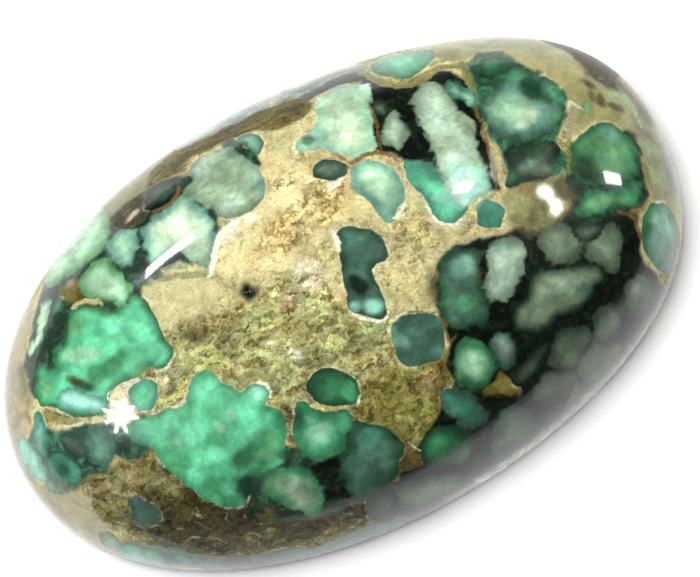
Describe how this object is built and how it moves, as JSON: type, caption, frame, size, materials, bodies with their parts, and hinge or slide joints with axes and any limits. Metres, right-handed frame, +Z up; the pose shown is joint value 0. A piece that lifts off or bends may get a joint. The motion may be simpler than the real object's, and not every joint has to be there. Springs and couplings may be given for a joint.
{
  "type": "variscite cabochon",
  "caption": "Oval variscite cabochon with green nodules in a sandy and black matrix, polished dome, bevelled flat back it rests on.",
  "frame": {"origin": "middle of the bounding box, on the flat back's plane", "axes": "+X along the long axis of the oval, +Y across it, +Z up out of the dome; the flat back faces -Z"},
  "size_m": [0.034, 0.021, 0.008],
  "materials": {
    "variscite_cabochon": "polished"
  },
  "bodies": {
    "root": {"variscite_cabochon": "variscite_cabochon"}
  },
  "joints": []
}
